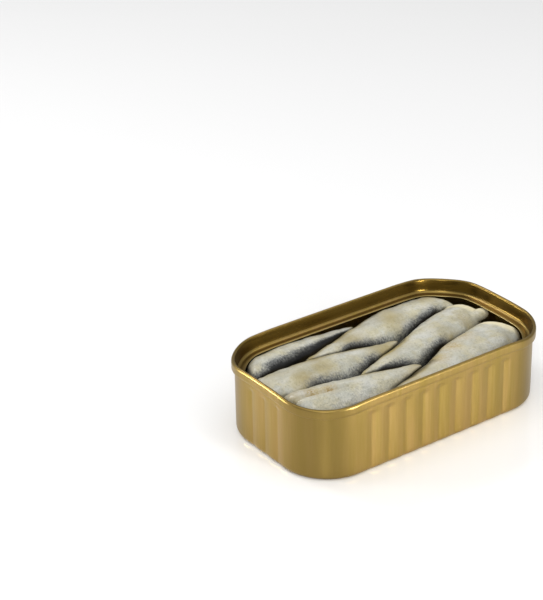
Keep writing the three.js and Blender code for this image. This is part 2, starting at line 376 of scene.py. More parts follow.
# %% [markdown]
# ## Turning a node tree into a piece
# A Geometry Nodes piece stays live in Blender, but a finished part should be a plain mesh. The
# modifier's inputs are set by their identifiers before the first evaluation, then the evaluated
# result is copied to a plain mesh and the modifier goes.

# %% Helpers for forms
def new_object(name, data):
    made = bpy.data.objects.new(name, data)
    bpy.context.scene.collection.objects.link(made)
    return made


VECTOR_SIZES = {"Head", "Tail", "Lowest corner", "Highest corner"}


def new_tree(name, takes, gives):
    """A Geometry Nodes tree with named inputs and outputs, and what it is given."""
    tree = bpy.data.node_groups.new(name, "GeometryNodeTree")
    for in_out, sockets in (("INPUT", takes), ("OUTPUT", gives)):
        for socket in sockets:
            kind = ("Geometry" if socket == "Geometry" else
                    "Vector" if socket in VECTOR_SIZES else "Float")
            tree.interface.new_socket(name=socket, in_out=in_out,
                                      socket_type="NodeSocket" + kind)
    nodes = NodeTree(tree)
    given = tree.nodes.new("NodeGroupInput")
    return nodes, {s.name: Value(nodes, s) for s in given.outputs if s.name}


def new_form(name, sizes):
    """A tree that takes and gives geometry, with named inputs for its sizes."""
    return new_tree(name, ["Geometry", *sizes], ["Geometry"])


def give(nodes, *results):
    """Links the results to the outputs of the tree."""
    end = nodes.tree.nodes.new("NodeGroupOutput")
    for key, result in enumerate(results):
        nodes.put(end.inputs[key], result)


def finish_form(nodes, geometry, material):
    """The last nodes of every form: realize, smooth, paint, and out."""
    geometry = nodes.add("GeometryNodeRealizeInstances", inputs={"Geometry": geometry})
    geometry = nodes.add("GeometryNodeSetShadeSmooth", inputs={"Geometry": geometry})
    give(nodes, nodes.add("GeometryNodeSetMaterial",
                          inputs={"Geometry": geometry, "Material": material}))


def grow_piece(name, start_mesh, nodes, sizes):
    """Runs a tree on a mesh and keeps the result as a plain mesh object."""
    starter = new_object(name + "_start", start_mesh)
    modifier = starter.modifiers.new("form", "NODES")
    modifier.node_group = nodes.tree
    for item in nodes.tree.interface.items_tree:
        if item.name in sizes:
            modifier[item.identifier] = sizes[item.name]
    evaluated = starter.evaluated_get(bpy.context.evaluated_depsgraph_get())
    mesh = bpy.data.meshes.new_from_object(evaluated)
    mesh.name = name
    bpy.data.objects.remove(starter)
    piece = new_object(name, mesh)
    print(name, len(mesh.vertices), "points,", len(mesh.polygons), "faces")
    return piece


# %% Helpers for meshes
def ring_mesh(name, rings):
    """A mesh over rings of points, with its first and last rings capped."""
    count = len(rings[0])
    last = (len(rings) - 1) * count
    faces = []
    for lower in range(0, last, count):
        upper = lower + count
        for i in range(count):
            after = (i + 1) % count
            faces.append((lower + i, lower + after, upper + after, upper + i))
    faces.append(tuple(range(count - 1, -1, -1)))
    faces.append(tuple(range(last, last + count)))
    mesh = bpy.data.meshes.new(name)
    mesh.from_pydata(np.concatenate(rings).tolist(), [], faces)
    return mesh


def set_attribute(mesh, name, kind, values):
    attribute = mesh.attributes.new(name, kind, "POINT")
    field = "vector" if kind == "FLOAT_VECTOR" else "value"
    attribute.data.foreach_set(field, np.asarray(values, np.float32).ravel())


# %% [markdown]
# ## The tin body
# The body is drawn from one sheet: a raised base panel, a flat ring that it stands on, a
# rounded foot, a fluted wall and a plain neck inside the seam. The plain shape is a stack of
# rings. The flutes repeat at one pitch, so a Geometry Nodes tree presses them in afterwards:
# each groove is sharp and each rib between two grooves is round, as on the real tin.

# %% Rows of the tin body
def wall_rows(inset, lift):
    """One face of the sheet from base panel to neck, as inset, height and share of flute."""
    rows = [(panel, PANEL_RAISE + lift, 0.0) for panel in (17.5, 14.0, 10.5, 8.0, 6.9)]
    rows += [(6.6, 0.95 + lift, 0.0), (6.3, 0.75 + lift, 0.0), (5.9, 0.35 + lift, 0.0),
             (5.6, 0.08 + lift, 0.0), (5.3, lift, 0.0), (3.2, lift, 0.0)]
    for i in range(13):
        angle = i / 12 * math.pi / 2
        reach = FOOT_INSET - inset
        rows.append((inset + reach * (1 - math.sin(angle)),
                     lift + (FOOT_HEIGHT - lift) * (1 - math.cos(angle)),
                     float(smooth_rise(i / 12))))
    rows += [(inset, FOOT_HEIGHT + (FLUTE_TOP - FOOT_HEIGHT) * i / 8, 1.0) for i in range(1, 9)]
    fade = 8
    rows += [(inset, FLUTE_TOP + FLUTE_FADE * i / fade, float(smooth_rise(1 - i / fade)))
             for i in range(1, fade + 1)]
    rows += [(inset, NECK_HEIGHT, 0.0), (inset, TIN_HEIGHT - 1.6, 0.0)]
    return rows


body_rows = wall_rows(WALL_OUTER, 0.0) + wall_rows(WALL_INNER, SHEET)[::-1]
body_points, body_outward, body_flutes = seam_outline(24, FLUTE_PITCH / 16)
body_mesh = ring_mesh("tin_body", [
    tin_ring(body_points, body_outward, inset, height) for inset, height, share in body_rows])
row_count = len(body_rows)
outward = np.column_stack([body_outward, np.zeros(len(body_outward))])
set_attribute(body_mesh, "outward", "FLOAT_VECTOR", np.tile(outward, (row_count, 1)))
set_attribute(body_mesh, "along", "FLOAT", np.tile(body_flutes[:, 0], row_count))
set_attribute(body_mesh, "reach", "FLOAT", np.tile(body_flutes[:, 1], row_count))
set_attribute(body_mesh, "share", "FLOAT",
              np.repeat([share for inset, height, share in body_rows], len(body_points)))
print("tin body:", row_count, "rows of", len(body_points), "points")

# %% Press the flutes
def named(nodes, name, kind="FLOAT"):
    """A stored attribute of the geometry, read by name."""
    return nodes.add("GeometryNodeInputNamedAttribute", {"data_type": kind},
                     {"Name": name}, "Attribute")


def flute_form():
    nodes, given = new_form("press_flutes", ["Flute pitch", "Flute depth"])
    along = named(nodes, "along")
    groove = 1 - nodes.sum("ABSOLUTE", nodes.sum("SINE", along * math.pi / given["Flute pitch"]))
    fluted = nodes.sum("LESS_THAN", nodes.sum("ABSOLUTE", along), named(nodes, "reach") + 0.01)
    depth = given["Flute depth"] * groove * fluted * named(nodes, "share")
    offset = nodes.vector("SCALE", named(nodes, "outward", "FLOAT_VECTOR"), depth * -MM)
    pressed = nodes.add("GeometryNodeSetPosition",
                        inputs={"Geometry": given["Geometry"], "Offset": offset})
    for spare in ("outward", "along", "reach", "share"):
        pressed = nodes.add("GeometryNodeRemoveAttribute",
                            inputs={"Geometry": pressed, "Name": spare})
    finish_form(nodes, pressed, lacquer)
    return nodes


tin_body = grow_piece("drawn_tin", body_mesh, flute_form(),
                      {"Flute pitch": FLUTE_PITCH, "Flute depth": FLUTE_DEPTH})

# %% [markdown]
# ## The seam and what is left of the lid
# The lid was seamed on round the rim: a rounded crest, a skirt outside, and a chuck wall that
# goes down inside to a shallow groove. The panel was torn out along its score, and a narrow
# ledge with a raw edge stays. The same section follows the rim all the way, so a Geometry Nodes
# tree sweeps one drawn section along the outline.

# %% Section of the seam
def crest_arc(steps):
    return [(CREST / 2 * (1 - math.cos(math.pi * i / steps)),
             TIN_HEIGHT - CREST_RISE + CREST_RISE * math.sin(math.pi * i / steps), 0.0)
            for i in range(steps + 1)]


# Each point is an inset, a height, and how raw the sheet is there. The brown film covers what
# lies between the crest and the foot of the chuck wall.
CHUCK_WALL_FOOT = 1.9
seam_section = [(0.93, 25.1, 0), (0.5, 25.08, 0), (0.25, 25.12, 0), (0.08, 25.24, 0),
                (0.0, 25.45, 0), (0.02, 26.3, 0), (0.0, 27.2, 0)]
seam_section += crest_arc(14)
seam_section += [(1.53, 27.3, 0), (1.58, 26.6, 0), (1.62, 25.5, 0), (1.67, 24.7, 0),
                 (1.77, 24.2, 0), (1.95, 23.82, 0), (2.2, 23.55, 0), (2.5, 23.41, 0),
                 (2.85, 23.37, 0), (3.15, 23.4, 0), (3.5, 23.43, 0), (4.1, 23.38, 0),
                 (4.45, 23.28, 0), (4.6, 23.15, 0.8), (4.58, 23.0, 0.8), (4.4, 22.98, 0),
                 (3.4, 23.04, 0), (2.8, 23.06, 0), (2.4, 23.13, 0), (2.02, 23.32, 0),
                 (1.68, 23.7, 0), (1.46, 24.15, 0), (1.36, 24.7, 0), (1.32, 25.3, 0),
                 (1.32, 27.0, 0), (0.93, 27.0, 0)]

rim_points, rim_outward, _ = seam_outline(24, FLUTE_PITCH / 4)
rim_line = tin_ring(rim_points, rim_outward, 0.0, TIN_HEIGHT)
rim_line[:, 2] -= TIN_HEIGHT * MM
rim_mesh = bpy.data.meshes.new("rim_line")
rim_count = len(rim_line)
rim_mesh.from_pydata(rim_line.tolist(), [(i, (i + 1) % rim_count) for i in range(rim_count)],
                     [])
section_mesh = bpy.data.meshes.new("seam_section")
section_count = len(seam_section)
section_mesh.from_pydata([(-inset * MM, -height * MM, 0) for inset, height, raw in seam_section],
                         [(i, (i + 1) % section_count) for i in range(section_count)], [])
set_attribute(section_mesh, "torn", "FLOAT", [raw for inset, height, raw in seam_section])
set_attribute(section_mesh, "inner", "FLOAT", [
    0.0 if inset > CHUCK_WALL_FOOT else float(smooth_rise((inset - 0.9) / 0.6))
    for inset, height, raw in seam_section])
section_object = new_object("seam_section", section_mesh)
print("seam section of", section_count, "points round a rim of", rim_count)

# %% Sweep the seam
def sweep_form():
    nodes, given = new_form("sweep_seam", [])
    path = nodes.add("GeometryNodeMeshToCurve", inputs={"Mesh": given["Geometry"]})
    path = nodes.add("GeometryNodeSetCurveNormal", {"mode": "Z_UP"}, {"Curve": path})
    section = nodes.add("GeometryNodeObjectInfo", {}, {"Object": section_object}, "Geometry")
    section = nodes.add("GeometryNodeMeshToCurve", inputs={"Mesh": section})
    swept = nodes.add("GeometryNodeCurveToMesh", inputs={"Curve": path,
                                                         "Profile Curve": section})
    finish_form(nodes, swept, lacquer)
    return nodes


lid_ring = grow_piece("seam_and_ledge", rim_mesh, sweep_form(), {})
bpy.data.objects.remove(section_object)

# %% [markdown]
# ## The shape of one fish
# Each fish is a plump tapered body with its head cut off. A loft of rings could make one, but
# packed fish press against each other, the wall and the ledge, and rings cannot give way. So
# the shape is a rule instead: for any point in space the tree works out how deep it lies inside
# the fish. The smaller of two depths is where two shapes meet, so pressing one fish against
# another is one Smooth Minimum node. This group gives the depth for one fish, in millimetres.

# %% The depth of a point in a fish
FISH_SIZES = ["Head", "Tail", "Bow", "Swing", "Width", "Head top", "Fattest top", "Tail top",
              "Skew", "Rounding", "Cut part", "Tail part", "Seed"]
FISH_THICKNESS = 12.0
FATTEST = 0.3
SLANT_REACH = 0.45
WIDER_FRONT = 0.2
LUMPS = 1.2
SMALL_LUMPS = 0.35


def point_in_space(nodes):
    """In a form, the point that is worked on, in millimetres."""
    return nodes.vector("SCALE", nodes.add("GeometryNodeInputPosition"), 1000.0)


def fish_depth_group():
    """Gives a point's depth, how far it is along the fish, and its turn from the ridge."""
    nodes, given = new_tree("depth_in_fish", FISH_SIZES, ["Depth", "Along", "Turn"])
    place = point_in_space(nodes)
    x, y, z = nodes.parts(nodes.vector("SUBTRACT", place, given["Head"]))
    line = nodes.vector("SUBTRACT", given["Tail"], given["Head"])
    length = nodes.vector("LENGTH", line, output="Value")
    axis_x, axis_y, _ = nodes.parts(nodes.vector("NORMALIZE", line))
    from_head = x * axis_x + y * axis_y
    rough_station = nodes.limit(from_head / length)
    sway = given["Bow"] * nodes.sum("SINE", rough_station * math.pi)
    sway = sway + given["Swing"] * nodes.sum("SINE", rough_station * 2 * math.pi)
    across = (y * axis_x - x * axis_y) * nodes.sum("SIGN", axis_x) - sway

    slant = given["Skew"] * nodes.limit(1 - rough_station / SLANT_REACH) ** 1.5
    along = from_head - slant * across
    station = nodes.limit(along / length)
    behind = nodes.limit((station - FATTEST) / (1 - FATTEST))
    ahead = nodes.limit(1 - station / FATTEST)
    girth = 1 - (1 - given["Tail part"]) * behind ** 1.6 - 0.15 * ahead ** 2
    near_head = nodes.limit(1 - along / given["Rounding"])
    near_tip = nodes.limit(1 - (length - along) / 3)
    head_round = nodes.sum("SQRT", 1 - near_head ** 2)
    head_round = given["Cut part"] + (1 - given["Cut part"]) * head_round
    part = girth * head_round * nodes.sum("SQRT", 1 - 0.96 * near_tip ** 2)

    top = given["Fattest top"] + (given["Head top"] - given["Fattest top"]) * ahead
    top = top + (given["Tail top"] - given["Fattest top"]) * behind
    rise = z - (top - girth * (FISH_THICKNESS / 2))
    half_up = part * (FISH_THICKNESS / 2)
    in_front = nodes.sum("LESS_THAN", across, 0)
    half_across = part * given["Width"] * 0.5 * (1 + in_front * WIDER_FRONT)
    share = nodes.sum("SQRT", (across / half_across) ** 2 + (rise / half_up) ** 2)
    flesh = (1 - share) * nodes.sum("MINIMUM", half_up, half_across)
    lumps = (nodes.noise(place, 0.13, 1.0, 0.5, given["Seed"]) - 0.5) * LUMPS
    lumps = lumps + (nodes.noise(place, 0.4, 1.0, 0.5, given["Seed"]) - 0.5) * SMALL_LUMPS
    ends = nodes.sum("MINIMUM", along, length - along)
    depth = nodes.sum("SMOOTH_MIN", flesh + lumps, ends + lumps, 0.8)
    turn = nodes.sum("ARCTAN2", 0 - across / half_across, rise / half_up) * (180 / math.pi)

    give(nodes, depth, along, turn)
    return nodes.tree


depth_in_fish = fish_depth_group()
print("depth group:", len(depth_in_fish.nodes), "nodes")

# %% [markdown]
# ## Fish skin
# Cooked sardine skin is silver over cream flesh: a smooth pale flank with fine grey mottling, a
# dark band that is partly the dark back and partly painted shade towards the next fish, olive and
# tan patches where the skin has rubbed, and a wet film of oil over all of it. Painted sheen
# patches and a painted highlight along the top of each fish lighten it, and painted shade darkens
# the lines where fish meet. The patterns are 3-D noise on the piece itself, and stored attributes
# say where the band, the patches and the cut flesh are, and how near the next fish is.

# %% Fish skin material
CREAM_SILVER = colour(194, 188, 160)
SILVER = colour(186, 186, 173)
SHEEN_SILVER = colour(212, 212, 206)
DULL_SILVER = colour(168, 162, 136)
GREY_MOTTLE = colour(158, 154, 132)
PALE_STROKE = colour(216, 212, 194)
GREY_STROKE = colour(140, 138, 122)
GREY_SPECK = colour(128, 124, 106)
RIDGE_HIGHLIGHT = colour(214, 212, 202)
OLIVE = colour(158, 142, 88)
TAN = colour(176, 154, 102)
BROWN_SPECK = colour(130, 104, 66)
BAND_EDGE = colour(98, 102, 106)
BAND_BLACK = colour(14, 14, 15)
CUT_FLESH = colour(236, 226, 190)
CREASE_SHADE = colour(52, 44, 24)


def fish_skin():
    material, nodes, shader = new_material("fish_skin")
    place = object_place(nodes)
    band, olive, tan = nodes.parts(nodes.stored("marks", "Vector"))
    along, turn, flesh = nodes.parts(nodes.stored("skin", "Vector"))
    contact = nodes.stored("contact")
    x, y, z = nodes.parts(place)
    round_body = nodes.join(along, turn * 0.065, y * 0.2)
    big = nodes.noise(place, 0.16, 3.0, 0.6)
    middle = nodes.noise(place, 0.5, 3.0, 0.55, 3.0)
    fine = nodes.noise(place, 1.6, 3.0, 0.6, 7.0)
    strokes = nodes.noise(round_body, 1.9, 3.0, 0.6, 11.0)
    sheen = nodes.noise(nodes.join(x * 0.5, y, z), 0.3, 2.0, 0.5, 15.0)

    tone = nodes.mix(nodes.step(big, 0.4, 0.6), CREAM_SILVER, SILVER)
    # Painted sheen: lighter silver where the sheen noise is high, and duller skin where it is
    # low.
    tone = nodes.mix(nodes.step(sheen, 0.5, 0.64) * 0.45, tone, SHEEN_SILVER)
    tone = nodes.mix(nodes.step(sheen, 0.5, 0.36) * 0.4, tone, DULL_SILVER)
    tone = nodes.mix(nodes.step(middle, 0.5, 0.72) * 0.35, tone, GREY_MOTTLE)
    tone = nodes.mix(nodes.step(strokes, 0.5, 0.3) * 0.3, tone, PALE_STROKE)
    tone = nodes.mix(nodes.step(strokes, 0.5, 0.7) * 0.3, tone, GREY_STROKE)
    tone = nodes.mix(nodes.step(fine, 0.52, 0.68) * 0.4, tone, GREY_SPECK)
    # Painted highlight: the top of each fish, round its ridge, is made lighter.
    ridge = nodes.step(nodes.sum("ABSOLUTE", turn + 6), 38.0, 8.0) * nodes.step(middle, 0.35, 0.6)
    tone = nodes.mix(ridge * 0.35, tone, RIDGE_HIGHLIGHT)
    far_edge = nodes.step(contact, 3.4, 0.8) * nodes.step(turn, 0.0, -30.0)
    olive_part = nodes.limit(olive * (0.4 + middle) + far_edge * 0.6)
    tone = nodes.mix(olive_part, tone, OLIVE)
    tan_part = nodes.limit(tan * (fine * 2.4 - 0.5))
    tone = nodes.mix(tan_part, tone, TAN)
    tone = nodes.mix(nodes.step(tan * 0.8 + fine, 1.15, 1.5) * 0.45, tone, BROWN_SPECK)
    # The dark band: partly the dark back of the skin, partly painted shade towards the next fish.
    edge = nodes.limit(band * 4) * nodes.limit((1 - band) * 3)
    dark = band + ((strokes - 0.5) * 0.7 + (fine - 0.5) * 0.5) * edge
    tone = nodes.mix(nodes.step(dark, 0.0, 0.6) * 0.75, tone, BAND_EDGE)
    tone = nodes.mix(nodes.step(dark, 0.3, 0.9), tone, BAND_BLACK)
    tone = nodes.mix(flesh * 0.9, tone, CUT_FLESH)
    # Painted shade: dark brown along the lines where one fish meets the next.
    crease = nodes.step(contact + (middle - 0.5) * 0.8, 1.2, 0.0)
    tone = nodes.mix(crease * 0.8, tone, CREASE_SHADE)
    nodes.put(shader.inputs["Base Color"], tone)

    nodes.put(shader.inputs["Roughness"], 0.4 + fine * 0.18 + tan_part * 0.1)
    nodes.put(shader.inputs["Coat Weight"], nodes.limit(0.35 + big * 0.3) * (1 - band))
    shader.inputs["Coat Roughness"].default_value = 0.12
    shader.inputs["Specular IOR Level"].default_value = 0.3
    nodes.emboss(shader, middle * 0.5 + fine * 0.2 + strokes * 0.25, 0.3, 0.3 * MM)
    return material


skin_material = fish_skin()
print("made", skin_material.name)

# %% [markdown]
# ## The fish in the tin
# The sizes of each fish say where it lies. A loop over one plain table keeps them easy to
# change. The fish are listed from the front of the tin to the back, and each one gives way to
# those before it. The last one lies low along the front wall.

# %% Places and sizes of the fish
# Each row follows the order of FISH_SIZES, with the head and the tail given from above.
FISHES = {
    "sardine_front_right": [(45.2, -7.1), (-14, -21.7), -1.1, 0.6, 16, 23.3, 24.1, 21.7,
                            0.5, 1.2, 0.92, 0.2, 1.0],
    "sardine_front_left": [(-45.5, -6.6), (15, -16.1), -0.6, -0.3, 15.3, 23.7, 24.1, 21.8,
                           -0.3, 4, 0.55, 0.25, 2.0],
    "sardine_middle_right": [(44.5, 11.4), (-19, -7.4), -2, 0.1, 14.8, 23.1, 24.1, 21.8,
                             0.45, 1.2, 0.92, 0.2, 3.0],
    "sardine_middle_left": [(-48, 7.6), (14, 4), 0.75, 0.3, 15.2, 23.6, 24.1, 21.8,
                            0, 3, 0.55, 0.25, 4.0],
    "sardine_back_right": [(42.2, 22), (-34, 10.8), 1.3, 0.8, 15.3, 22.9, 23.8, 21.6,
                           0.6, 4, 0.5, 0.2, 5.0],
    "sardine_back_left": [(-43.5, 20.4), (8, 24.8), 0.3, 0, 14, 23.3, 23.8, 20.8,
                          0.5, 5, 0.5, 0.15, 6.0],
    "sardine_front_low": [(-41, -20.5), (36, -24.5), 0, 0, 12, 20.2, 20.3, 19,
                          -0.5, 3, 0.55, 0.3, 7.0],
}
FISH_FLOOR = 12.0
CONTACT_GAP = 0.1
CONTACT_ROLL = 3.2
VOXEL = 0.36
WRINKLES = 0.16
NOT_NEAR = 9.0


def fish_values(name):
    """The sizes of a fish by the names of the depth group's inputs."""
    head, tail, *rest = FISHES[name]
    return dict(zip(FISH_SIZES, [(*head, 0.0), (*tail, 0.0), *[float(v) for v in rest]]))


for name, (head, tail, *rest) in FISHES.items():
    print(name, "is", round(math.dist(head, tail), 1), "mm long")

# %% [markdown]
# ## Giving way
# Fish in a tin flatten where they meet the wall, the ledge and each other. One function gives
# the depth of a point in the room that the tin leaves, and the tree for a fish takes the
# smaller of that depth and its own. A stump of back bone is added with a Smooth Maximum, and a
# fold is pressed in along a line. Volume Cube then holds the depth at every point of a small
# block of space, and Volume to Mesh puts the skin where it is zero.

# %% The room for the fish
ROOM_INSET = 1.95
LEDGE_INSET = 4.8
LEDGE_UNDERSIDE = 22.5


def depth_in_room(nodes):
    """How deep a point lies in the room for fish: inside the wall, and under the ledge."""
    x, y, z = nodes.parts(point_in_space(nodes))
    past_x = nodes.sum("ABSOLUTE", x) - (HALF_LENGTH - CORNER_RADIUS)
    past_y = nodes.sum("ABSOLUTE", y) - (HALF_WIDTH - CORNER_RADIUS)
    out_x, out_y = nodes.sum("MAXIMUM", past_x, 0), nodes.sum("MAXIMUM", past_y, 0)
    corner = nodes.sum("SQRT", out_x ** 2 + out_y ** 2)
    inside = nodes.sum("MINIMUM", nodes.sum("MAXIMUM", past_x, past_y), 0)
    inset = CORNER_RADIUS - corner - inside
    lean = nodes.limit(2 * out_x * out_y / nodes.sum("MAXIMUM", corner ** 2, 0.01))
    dip = nodes.step(lean, -0.4, 1) * CORNER_DIP
    under_ledge = nodes.step(z + dip, LEDGE_UNDERSIDE, LEDGE_UNDERSIDE + 0.25)
    needed = ROOM_INSET + (LEDGE_INSET - ROOM_INSET) * under_ledge
    return nodes.sum("SMOOTH_MIN", inset - needed, z - FISH_FLOOR, 0.6)


# %% The tree for one fish
# The end of a back bone that sticks out of a cut: its middle, and its half sizes.
STUBS = {"sardine_middle_right": ((47.3, 4.6, 20.4), (4.2, 2.4, 2.3))}
# A fold that is pressed in along a line: its two ends from above, its half width and depth.
FOLDS = {"sardine_front_left": ((-47.0, -7.1, 0.0), (-26.0, -11.4, 0.0), 1.4, 2.0)}


def add_stub(nodes, depth, place, middle, reach):
    """Joins an egg shape on to the fish."""
    share = nodes.vector("DIVIDE", nodes.vector("SUBTRACT", place, middle), reach)
    stub = (1 - nodes.vector("LENGTH", share, output="Value")) * min(reach)
    return nodes.sum("SMOOTH_MAX", depth, stub, 0.8)


def press_fold(nodes, depth, place, start, end, half_width, deepest):
    """Takes depth away near a line that is seen from above."""
    line = Vector(end) - Vector(start)
    offset = nodes.vector("SUBTRACT", nodes.vector("MULTIPLY", place, (1.0, 1.0, 0.0)), start)
    part = nodes.vector("DOT_PRODUCT", offset, tuple(line / line.length_squared),
                        output="Value")
    nearest = nodes.vector("SCALE", tuple(line), nodes.limit(part))
    away = nodes.vector("DISTANCE", offset, nearest, output="Value")
    return depth - nodes.step(away, half_width, 0.0) * deepest


def packed_fish_form(name, in_front):
    """The tree for one fish, which gives way to the room and to the fish in front of it."""
    nodes, given = new_form(name, [*FISH_SIZES, "Lowest corner", "Highest corner",
                                   "Voxel size", "Contact gap", "Roll"])

    def ask_group(values, output):
        return nodes.add("GeometryNodeGroup", {"node_tree": depth_in_fish}, values, output)

    own = {size: given[size] for size in FISH_SIZES}
    depth = ask_group(own, "Depth")
    place = point_in_space(nodes)
    if name in STUBS:
        depth = add_stub(nodes, depth, place, *STUBS[name])
    if name in FOLDS:
        depth = press_fold(nodes, depth, place, *FOLDS[name])
    depth = nodes.sum("SMOOTH_MIN", depth, depth_in_room(nodes), 0.6)
    for other in in_front:
        outside = 0 - ask_group(fish_values(other), "Depth") - given["Contact gap"]
        depth = nodes.sum("SMOOTH_MIN", depth, outside, given["Roll"])
    # The surface lies at a density of 0.5, and two voxels either side of it are in between.
    density = nodes.limit(0.5 + depth / (given["Voxel size"] * 4))
    span = nodes.vector("SUBTRACT", given["Highest corner"], given["Lowest corner"])
    counts = [part * 1000 / given["Voxel size"] for part in nodes.parts(span)]
    block = nodes.add("GeometryNodeVolumeCube", {}, {
        "Density": density, "Min": given["Lowest corner"], "Max": given["Highest corner"],
        "Resolution X": counts[0], "Resolution Y": counts[1], "Resolution Z": counts[2]})
    surface = nodes.add("GeometryNodeVolumeToMesh", {"resolution_mode": "GRID"},
                        {"Volume": block, "Threshold": 0.5})
    along, turn = ask_group(own, "Along"), ask_group(own, "Turn")
    surface = nodes.add("GeometryNodeStoreNamedAttribute", {"data_type": "FLOAT_VECTOR"}, {
        "Geometry": surface, "Name": "skin", "Value": nodes.join(along, turn, 0.0)})
    nearest = NOT_NEAR
    for other in FISHES:
        if other != name:
            away = 0 - ask_group(fish_values(other), "Depth")
            nearest = nodes.sum("MINIMUM", nearest, away)
    surface = nodes.add("GeometryNodeStoreNamedAttribute", {"data_type": "FLOAT"}, {
        "Geometry": surface, "Name": "contact", "Value": nearest})
    wrinkle = nodes.noise(place, 0.9, 3.0, 0.6, given["Seed"]) - 0.5
    relief = nodes.vector("SCALE", nodes.add("GeometryNodeInputNormal"),
                          wrinkle * WRINKLES * MM)
    surface = nodes.add("GeometryNodeSetPosition",
                        inputs={"Geometry": surface, "Offset": relief})
    finish_form(nodes, surface, skin_material)
    return nodes


# %% [markdown]
# ## Growing the fish
# Where fish are pressed together a sliver can be cut off from the rest, so only the largest
# connected part of each mesh is kept. Then the dark band, the olive and tan patches and the cut
# flesh are written to the mesh, each with soft edges, from short lists of places.

# %% Keep the largest part
def keep_largest_part(mesh):
    shape = bmesh.new()
    shape.from_mesh(mesh)
    unseen = set(shape.verts)
    parts = []
    while unseen:
        part = [unseen.pop()]
        for vert in part:
            for edge in vert.link_edges:
                other = edge.other_vert(vert)
                if other in unseen:
                    unseen.remove(other)
                    part.append(other)
        parts.append(part)
    parts.sort(key=len)
    bmesh.ops.delete(shape, geom=[v for part in parts[:-1] for v in part], context="VERTS")
    shape.to_mesh(mesh)
    shape.free()
    return len(parts)


# %% Paint the marks
# Where each dark band runs along the front of a fish, as x from and to, how strong it is, and
# how far it reaches up from the next fish. Each band is partly the dark back of the skin and
# partly painted shade, darkest nearest the next fish; the faint wide band of the front left fish
# is painted shade only.
BACK_AND_SHADE_BANDS = {
    "sardine_back_left": [(-38, 6, 1.0, 6.4), (-47, -32, 0.95, 3.4)],
    "sardine_back_right": [(-8, 36, 0.95, 3.8)],
    "sardine_middle_left": [(-32, -4, 0.85, 4.2)],
    "sardine_middle_right": [(-8, 23, 0.95, 3.8)],
    "sardine_front_left": [(-8, 8, 0.3, 3.0), (-40, 10, 0.2, 9.0)],
    "sardine_front_right": [],
    "sardine_front_low": [(-30, 30, 0.4, 5.0)],
}
CUT_SHOWS = {"sardine_front_right", "sardine_middle_right"}
# Patches of olive and of tan, as x, y, radius and strength.
OLIVE_PATCHES = [
    (49, 4.6, 5, 0.8), (17, 18, 9, 0.75), (-4, 13.5, 10, 0.75), (-33, 2, 8, 0.8),
    (-25, 4.7, 9, 0.75), (2, 4, 11, 0.8), (2, -16, 8, 0.6), (-24, 13, 10, 0.4),
    (-40, 9, 8, 0.4), (26, -2, 9, 0.35), (38, 23, 8, 0.6), (-13, -6, 9, 0.35),
    (18, 26, 12, 0.4), (-4, -20, 10, 0.4)]
TAN_PATCHES = [
    (-44, -5, 6, 0.6), (-38, -7.5, 5, 1), (-32, -9.5, 5, 1), (28, -8.5, 7, 0.8),
    (20, -11, 7, 0.9), (11.5, -14.5, 7, 0.8), (-3, -20, 8, 0.4), (38, 3, 6, 0.3)]
CUT_DEPTH = 4.4


def paint_marks(name, mesh):
    count = len(mesh.vertices)
    place = np.zeros(count * 3, np.float32)
    mesh.vertices.foreach_get("co", place)
    x, y, _ = place.reshape(-1, 3).T * 1000
    skin = np.zeros(count * 3, np.float32)
    mesh.attributes["skin"].data.foreach_get("vector", skin)
    along, turn, _ = skin.reshape(-1, 3).T
    contact = np.zeros(count, np.float32)
    mesh.attributes["contact"].data.foreach_get("value", contact)
    band, olive, tan = np.zeros((3, count))
    for start, end, strength, height in BACK_AND_SHADE_BANDS[name]:
        middle, reach = (start + end) / 2, (end - start) / 2 + 6
        run = smooth_rise((1 - np.abs(x - middle) / reach) * reach / 8)
        # Painted shade: the band is strongest close to the next fish.
        near = np.clip(1.15 - contact / height, 0, 1) * smooth_rise((turn - 2) / 25)
        band = np.maximum(band, run * strength * near)
    for patches, paint in ((OLIVE_PATCHES, olive), (TAN_PATCHES, tan)):
        for px, py, radius, strength in patches:
            patch = strength * smooth_rise(1 - np.hypot(x - px, y - py) / radius)
            np.maximum(paint, patch, out=paint)
    flesh = smooth_rise((CUT_DEPTH - along) / 2) if name in CUT_SHOWS else np.zeros(count)
    mesh.attributes["skin"].data.foreach_set(
        "vector", np.column_stack([along, turn, flesh]).astype(np.float32).ravel())
    set_attribute(mesh, "marks", "FLOAT_VECTOR", np.column_stack([band, olive, tan]))


# %% Grow each fish
fish_pieces = {}
names = list(FISHES)
for i, name in enumerate(names):
    head, tail, bow, swing, width = FISHES[name][:5]
    margin = width * 0.75 + 1
    low = (min(head[0], tail[0]) - 6, min(head[1], tail[1]) - margin, FISH_FLOOR - 0.5)
    high = (max(head[0], tail[0]) + 6, max(head[1], tail[1]) + margin, 26.0)
    sizes = {**fish_values(name), "Voxel size": VOXEL, "Contact gap": CONTACT_GAP,
             "Roll": CONTACT_ROLL, "Lowest corner": [c * MM for c in low],
             "Highest corner": [c * MM for c in high]}
    form = packed_fish_form(name, names[:i])
    piece = grow_piece(name.replace("sardine", "fish"), bpy.data.meshes.new(name), form, sizes)
    parts = keep_largest_part(piece.data)
    paint_marks(name, piece.data)
    fish_pieces[name] = piece
    print("   ", parts, "parts,", len(piece.data.polygons), "faces kept")

# %% [markdown]
# ## What lies under the top layer
# More fish in oil lie under the ones that show, and only dark gaps between the fish give a
# glimpse of them. One block stands for it all, and its top has the soft humps of packed fish
# under oil.

# %% Filling material and piece
DEEP_OIL = colour(14, 12, 8)
OIL = colour(38, 32, 18)
THIN_OIL = colour(70, 60, 36)
SUNKEN_SKIN = colour(60, 58, 44)


